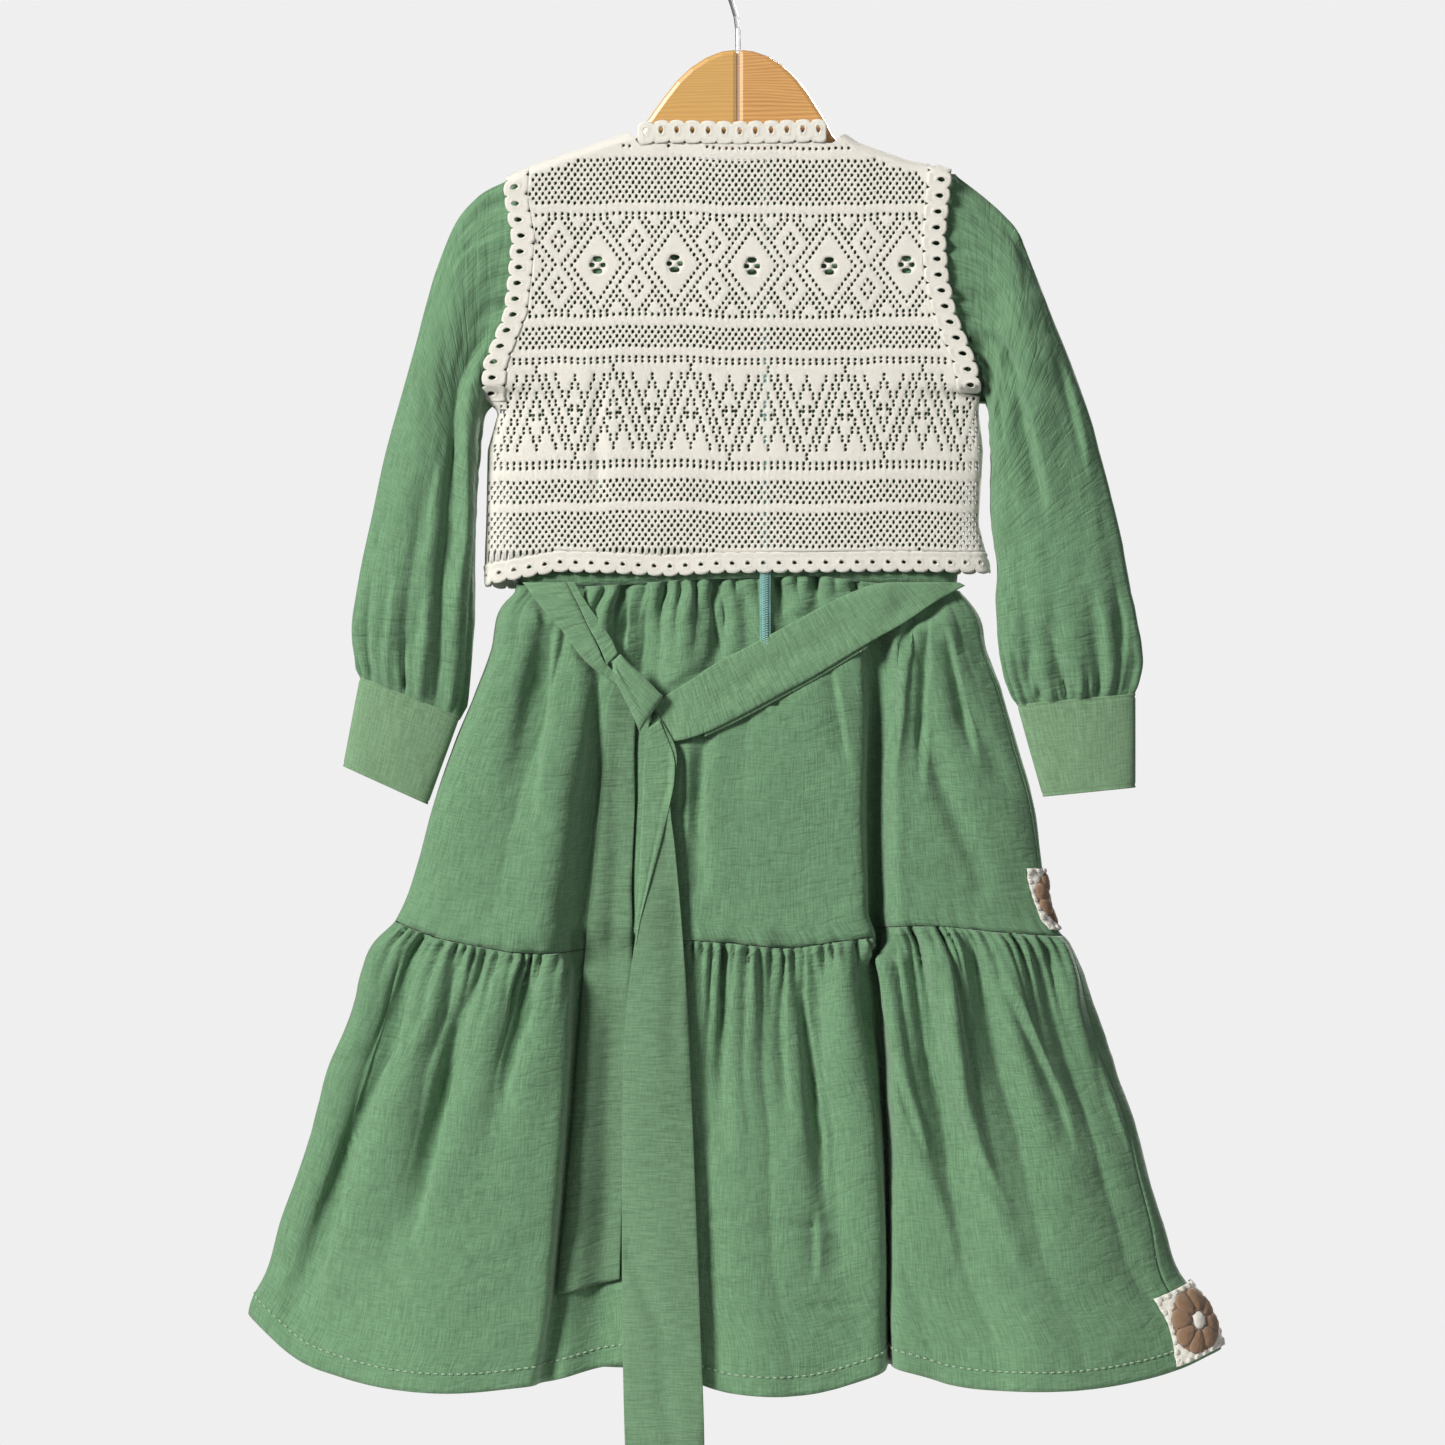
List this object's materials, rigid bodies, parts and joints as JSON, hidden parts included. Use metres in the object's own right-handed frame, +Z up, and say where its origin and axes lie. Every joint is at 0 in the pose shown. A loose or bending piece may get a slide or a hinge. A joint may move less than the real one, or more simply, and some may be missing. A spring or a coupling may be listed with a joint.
{
  "type": "tiered dress on a wooden hanger",
  "caption": "Child's tiered dress with long sleeves, crochet overlay and tie sash, hanging on a wooden hanger.",
  "frame": {"origin": "the point under the hook's arc where it bears on its rail", "axes": "+Z up, the way the garment hangs; the garment's back faces -Y; +X to the right of someone looking at its back"},
  "size_m": [0.6324, 0.1098, 1.0394],
  "materials": {
    "green_linen": "slubby matt linen",
    "pale_green_cotton": "smooth matt cotton",
    "cream_crochet": "matt cotton crochet",
    "brown_crochet": "matt crochet",
    "pale_wood": "satin lacquer",
    "reddish_wood": "satin lacquer",
    "bright_wire": "bright plated wire",
    "teal_zip": "woven tape with nylon coil"
  },
  "bodies": {
    "root": {"bodice_front": "green_linen", "bodice_back_left": "green_linen", "bodice_back_right": "green_linen", "tier_upper_back": "green_linen", "tier_upper_front": "green_linen", "tier_lower_back": "green_linen", "tier_lower_front": "green_linen", "sleeve_left": "green_linen", "sleeve_right": "green_linen", "cuff_left": "pale_green_cotton", "cuff_right": "pale_green_cotton", "sash_strand_right": "pale_green_cotton", "sash_strand_left": "pale_green_cotton", "sash_strand_narrow": "pale_green_cotton", "sash_tail_short": "pale_green_cotton", "sash_tail_long": "pale_green_cotton", "sash_knot": "pale_green_cotton", "overlay_back": "cream_crochet", "overlay_front_left": "cream_crochet", "overlay_front_right": "cream_crochet", "overlay_armhole_edging_left": "cream_crochet", "overlay_armhole_edging_right": "cream_crochet", "overlay_neck_edging": "cream_crochet", "overlay_hem_edging": "cream_crochet", "patch_seam": "brown_crochet", "patch_hem": "brown_crochet", "hanger_arm_left": "pale_wood", "hanger_arm_right": "reddish_wood", "hanger_hook": "bright_wire", "zip_slider": "bright_wire", "zip_tape": "teal_zip"}
  },
  "joints": []
}
